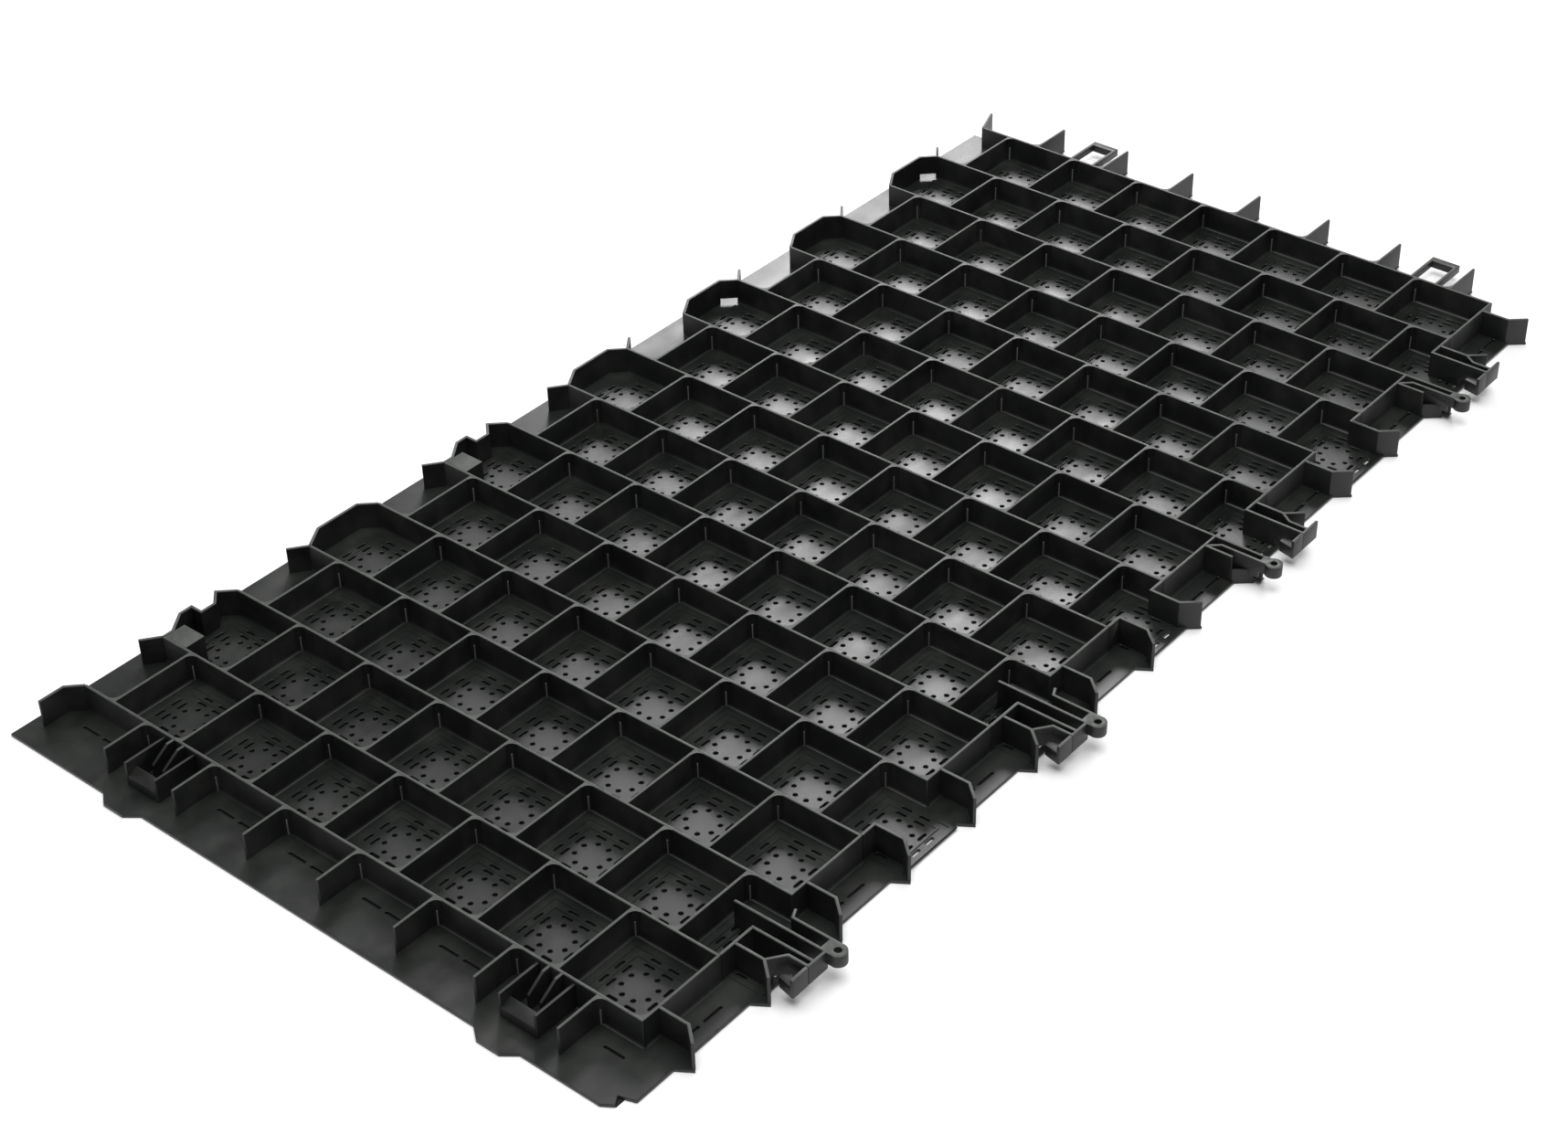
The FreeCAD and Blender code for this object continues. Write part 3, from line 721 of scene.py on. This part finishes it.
class PANEL_OT_cross_walls(bpy.types.Operator):
    """Builds the cross walls, half a pitch apart in alternate rows"""
    bl_idname = "panel.cross_walls"
    bl_label = "Cross walls"

    def execute(self, context):
        shape = Shape()
        reach = PITCH / 2.0 - 0.2 * MM
        add_wall(shape, [(0.0, -reach), (0.0, reach)], FLOOR_Z - SINK, TOP_Z - UNDER, edges().foot_cove,
                 round_ends=(False, False))
        for row in range(ROWS):
            label = "%02d" % (row + 1)
            places = [(x, line_y(row + 0.5), 0.0) for x in cross_columns(row)]
            copies("cross_walls_" + label, shape, places, "panel", ["cross_walls_row_" + label])
        return {"FINISHED"}


class PANEL_OT_corner_webs(bpy.types.Operator):
    """Builds the sloping webs in the cell corners"""
    bl_idname = "panel.corner_webs"
    bl_label = "Corner webs"

    def execute(self, context):
        places = {1: [], -1: []}
        for row in range(ROWS):
            for x in cross_columns(row):
                places[-1].append((x - HALF, line_y(row) + HALF, 0.0))
                if x < RISER_X - HALF:
                    places[1].append((x + HALF, line_y(row + 1) - HALF, 0.0))
        far = sum(span("far_edge_fins", 0)) / 2.0 - (COLUMNS - 1) / 2.0 * PITCH
        for n in range(COLUMNS):
            places[1].append((col_x(n) + HALF, FIRST_LINE - HALF, 0.0))
            places[-1].append((far + n * PITCH - HALF, LAST_LINE + HALF, 0.0))
        for name, turn, nodes in (("corner_webs_left", 1, ["cell_corner_webs"]),
                                  ("corner_webs_right", -1, [])):
            web = Shape()
            outline = [(-TUCK * turn, TUCK * turn), (-TUCK * turn, -WEB_LEG * turn)]
            for step in range(7):
                a = math.radians(180.0 - 15.0 * step)
                outline.append((turn * WEB_LEG * (1.0 + math.cos(a)), turn * WEB_LEG * (math.sin(a) - 1.0)))
            outline.append((WEB_LEG * turn, TUCK * turn))
            add_prism(web, outline, FLOOR_Z - SINK, TOP_Z - 2 * UNDER, edges().top_round)
            copies(name, web, places[turn], "panel", nodes)
            # Lighter bead in each web's fillet: a painted highlight streak, standing in for the light on the
            # fillet.
            bead = Shape()
            middle = turn * WEB_LEG * (1.0 - math.cos(math.radians(45.0)))
            ring = []
            for i in range(8):
                a = math.tau * i / 8
                ring.append((middle + BEAD_RADIUS * math.cos(a), BEAD_RADIUS * math.sin(a) - middle))
            bead_top = FLOOR_Z + (TOP_Z - FLOOR_Z) * BEAD_SHARE
            add_prism(bead, ring, FLOOR_Z - SINK, bead_top, BEAD_EASE)
            copies(name.replace("webs", "beads"), bead, places[turn], "panel", [], bead_highlight_plastic())
        return {"FINISHED"}


# --- edge pieces -------------------------------------------------------------
class PANEL_OT_edge_fins(bpy.types.Operator):
    """Builds the fins on both short edges"""
    bl_idname = "panel.edge_fins"
    bl_label = "Edge fins"

    def execute(self, context):
        for node, line, sign in (("near_edge_fins", FIRST_LINE, -1), ("far_edge_fins", LAST_LINE, 1)):
            y0, y1 = span(node, 1)
            x0, x1 = span(node, 0)
            first = (x0 + x1) / 2.0 - (COLUMNS - 1) / 2.0 * PITCH
            tip = (y0 if sign < 0 else y1) - line
            shape = Shape()
            add_wall(shape, [(0.0, sign * (HALF - TUCK)), (0.0, tip)], FLOOR_Z - SINK, TOP_Z - UNDER,
                     edges().small_cove, round_ends=(False, True))
            places = [(first + n * PITCH, line, 0.0) for n in range(COLUMNS)]
            copies(node.replace("edge_fins", "fins"), shape, places, "panel", [node])
        return {"FINISHED"}


def nearby_surface(skipped):
    """Search tree of every frame solid apart from the floor and the skipped node."""
    points, faces = [], []
    for name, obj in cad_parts.items():
        if name == skipped or name.startswith("floor_section"):
            continue
        start = len(points)
        points += [v.co.copy() for v in obj.data.vertices]
        faces += [[start + i for i in polygon.vertices] for polygon in obj.data.polygons]
    return BVHTree.FromPolygons(points, faces)


def softened(node, width):
    """Copy of a frame solid with rounded free edges; edges against a neighbour stay sharp."""
    mesh = bmesh.new()
    mesh.from_mesh(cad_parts[node].data)
    bmesh.ops.remove_doubles(mesh, verts=mesh.verts, dist=1e-6)
    bmesh.ops.dissolve_limit(mesh, angle_limit=math.radians(1.0), verts=mesh.verts, edges=mesh.edges)
    others = nearby_surface(node)
    free = []
    for edge in mesh.edges:
        if not edge.is_manifold or edge.calc_face_angle() < math.radians(22.0) or not edge.is_convex:
            continue
        middle = (edge.verts[0].co + edge.verts[1].co) / 2.0
        foot = max(v.co.z for v in edge.verts) < FLOOR_Z + SAME
        near = others.find_nearest(middle, 0.06 * MM)[0] is not None
        if not foot and not near:
            free.append(edge)
    bmesh.ops.bevel(mesh, geom=free, offset=width, offset_type="OFFSET", segments=2, profile=0.5,
                    affect="EDGES", clamp_overlap=True)
    top = max(v.co.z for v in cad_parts[node].data.vertices)
    for vertex in mesh.verts:
        if vertex.co.z < FLOOR_Z + SAME:
            vertex.co.z -= SINK
        vertex.co.z = min(vertex.co.z, top)
    bmesh.ops.recalc_face_normals(mesh, faces=mesh.faces)
    result = bpy.data.meshes.new(node + "_soft")
    mesh.to_mesh(result)
    mesh.free()
    return result


def soft_piece(name, node, body, material=None):
    """A frame solid with softened edges, as a piece of its own."""
    mesh = softened(node, edges().top_round * 0.9)
    shade(mesh, 32.0)
    return finish_piece(name, mesh, material or wall_plastic(), body, [node])


class PANEL_OT_left_side(bpy.types.Operator):
    """Builds the loops, pegs and latch seats of the left side"""
    bl_idname = "panel.left_side"
    bl_label = "Left side"

    def execute(self, context):
        for row in range(1, ROWS, 2):
            soft_piece("side_loop_%02d" % (row + 1), "left_loop_row_%02d" % (row + 1), "panel")
        soft_piece("side_pegs", "left_pegs", "panel")
        soft_piece("seat_bridges", "latch_seats", "panel")
        return {"FINISHED"}


class PANEL_OT_right_side(bpy.types.Operator):
    """Builds the wings and the fixed frames of the latches"""
    bl_idname = "panel.right_side"
    bl_label = "Right side"

    def execute(self, context):
        soft_piece("wings", "right_wings", "panel")
        soft_piece("latch_nose_blocks", "latch_noses", "panel")
        soft_piece("latch_bars_a", "latch_frames_a", "panel")
        soft_piece("latch_bars_b", "latch_frames_b", "panel")
        return {"FINISHED"}


class PANEL_OT_latch_fingers(bpy.types.Operator):
    """Builds the flexing fingers of the side latches"""
    bl_idname = "panel.latch_fingers"
    bl_label = "Latch fingers"

    def execute(self, context):
        for row in ROWS_A + ROWS_B:
            label = "%02d" % (row + 1)
            soft_piece("latch_hook_" + label, "latch_finger_row_" + label, "finger_" + label)
        return {"FINISHED"}


class PANEL_OT_snaps(bpy.types.Operator):
    """Builds the snap receivers and the spring tongues"""
    bl_idname = "panel.snaps"
    bl_label = "Snaps"

    def execute(self, context):
        for n in range(1, len(SNAP_BAYS) + 1):
            soft_piece("receiver_%d" % n, "snap_receiver_%d" % n, "panel")
            soft_piece("spring_loop_%d" % n, "snap_tongue_%d" % n, "tongue_%d" % n, tongue_plastic())
        return {"FINISHED"}


# --- stage -------------------------------------------------------------------
STAGE_REACH = 12.0          # half the studio floor's side
STAGE_Z = -0.2 * MM
SHADE_SHEET_INSET = 4.0 * MM        # the sheet of painted shade from the panel's left side, and three times that from the near one
SHADE_SHEET_RIGHT = 18.0 * MM       # the sheet's right side beyond the roots of the wings
SHADE_SHEET_FAR = 10.0 * MM
SKY_STRENGTH = 0.36
LIGHTS = (                  # name, place, target, power in watts, width
    ("far_softbox", (-1.65, 2.25, 1.8), (0.05, 0.1, 0.0), 52.0, 1.1),
    ("overhead", (0.3, -0.2, 3.2), (0.0, 0.0, 0.0), 110.0, 3.0),
)
LENS = 63.94
SENSOR_WIDTH = 36.0
CAMERA_PLACE = (0.9676, -1.2191, 1.0872)
CAMERA_TURN = (53.797, 1.243, 39.606)


def dress_frame_nodes():
    """Solids that stay hidden behind their pieces still get the moulded plastic."""
    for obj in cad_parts.values():
        obj.data.materials.clear()
        obj.data.materials.append(wall_plastic())


def stage_sheet(name, low, high, z, finish_name, colour, roughness):
    """A flat level sheet of the stage, and its shader."""
    (x0, y0), (x1, y1) = low, high
    mesh = bpy.data.meshes.new(name)
    mesh.from_pydata([(x0, y0, z), (x1, y0, z), (x1, y1, z), (x0, y1, z)], [], [(0, 1, 2, 3)])
    sheet = bpy.data.objects.new(name, mesh)
    bpy.context.scene.collection.objects.link(sheet)
    material = bpy.data.materials.new(finish_name)
    material.use_nodes = True
    shader = material.node_tree.nodes["Principled BSDF"]
    shader.inputs["Base Color"].default_value = (*colour, 1.0)
    shader.inputs["Roughness"].default_value = roughness
    mesh.materials.append(material)
    return shader


class PANEL_OT_stage(bpy.types.Operator):
    """Sets the pale floor, a dark sheet of painted shade under the panel, the lights and the camera"""
    bl_idname = "panel.stage"
    bl_label = "Stage"

    def execute(self, context):
        scene = context.scene
        paper = stage_sheet("studio_floor", (-STAGE_REACH, -STAGE_REACH), (STAGE_REACH, STAGE_REACH), STAGE_Z,
                            "pale_paper", tuple(finish().stage_colour), 0.9)
        paper.inputs["Specular IOR Level"].default_value = 0.0
        low = (span("floor_section_1", 0)[0] + SHADE_SHEET_INSET, NEAR_EDGE + 3.0 * SHADE_SHEET_INSET)
        high = (span("right_wings", 0)[0] + SHADE_SHEET_RIGHT, span("floor_section_4", 1)[1] - SHADE_SHEET_FAR)
        # A dark sheet under the panel: painted shade, seen through the floor's holes.
        stage_sheet("ground_mat", low, high, STAGE_Z / 2, "painted_shade_under_panel", (0.01, 0.01, 0.01), 1.0)
        world = bpy.data.worlds.new("studio")
        world.use_nodes = True
        sky = world.node_tree.nodes["Background"]
        sky.inputs[0].default_value = (1.0, 1.0, 1.0, 1.0)
        sky.inputs[1].default_value = SKY_STRENGTH
        scene.world = world
        for name, place, target, power, width in LIGHTS:
            data = bpy.data.lights.new(name, "AREA")
            data.energy = power
            data.size = width
            lamp = bpy.data.objects.new(name, data)
            lamp.location = place
            lamp.rotation_euler = (Vector(target) - Vector(place)).to_track_quat("-Z", "Y").to_euler()
            scene.collection.objects.link(lamp)
        data = bpy.data.cameras.new("camera")
        data.lens = LENS
        data.sensor_width = SENSOR_WIDTH
        camera = bpy.data.objects.new("camera", data)
        camera.location = CAMERA_PLACE
        camera.rotation_euler = [math.radians(a) for a in CAMERA_TURN]
        scene.collection.objects.link(camera)
        scene.camera = camera
        scene.view_settings.view_transform = "Standard"
        scene.view_settings.look = "None"
        return {"FINISHED"}


class PANEL_PT_side(bpy.types.Panel):
    """Panel in the 3D view's sidebar"""
    bl_idname = "PANEL_PT_side"
    bl_label = "Grid panel"
    bl_space_type = "VIEW_3D"
    bl_region_type = "UI"
    bl_category = "Grid panel"

    def draw(self, context):
        for group in ("moulded_edges", "drain_holes", "panel_finish"):
            settings = getattr(context.scene, group)
            for name in settings.__annotations__:
                self.layout.prop(settings, name)
        for step in STEPS:
            self.layout.operator("panel." + step)


STEPS = ("floor", "floor_ridges", "long_walls", "cross_walls", "corner_webs", "edge_fins",
         "left_side", "right_side", "latch_fingers", "snaps", "stage")
CLASSES = (MouldedEdges, DrainHoles, Finish, PANEL_OT_floor, PANEL_OT_floor_ridges,
           PANEL_OT_long_walls, PANEL_OT_cross_walls, PANEL_OT_corner_webs, PANEL_OT_edge_fins,
           PANEL_OT_left_side, PANEL_OT_right_side, PANEL_OT_latch_fingers, PANEL_OT_snaps,
           PANEL_OT_stage, PANEL_PT_side)


def register():
    for item in CLASSES:
        bpy.utils.register_class(item)
    bpy.types.Scene.moulded_edges = PointerProperty(type=MouldedEdges)
    bpy.types.Scene.drain_holes = PointerProperty(type=DrainHoles)
    bpy.types.Scene.panel_finish = PointerProperty(type=Finish)


def unregister():
    del bpy.types.Scene.moulded_edges
    del bpy.types.Scene.drain_holes
    del bpy.types.Scene.panel_finish
    for item in reversed(CLASSES):
        bpy.utils.unregister_class(item)


def main():
    register()
    dress_frame_nodes()
    for step in STEPS:
        getattr(bpy.ops.panel, step)()


if __name__ == "__main__":
    main()
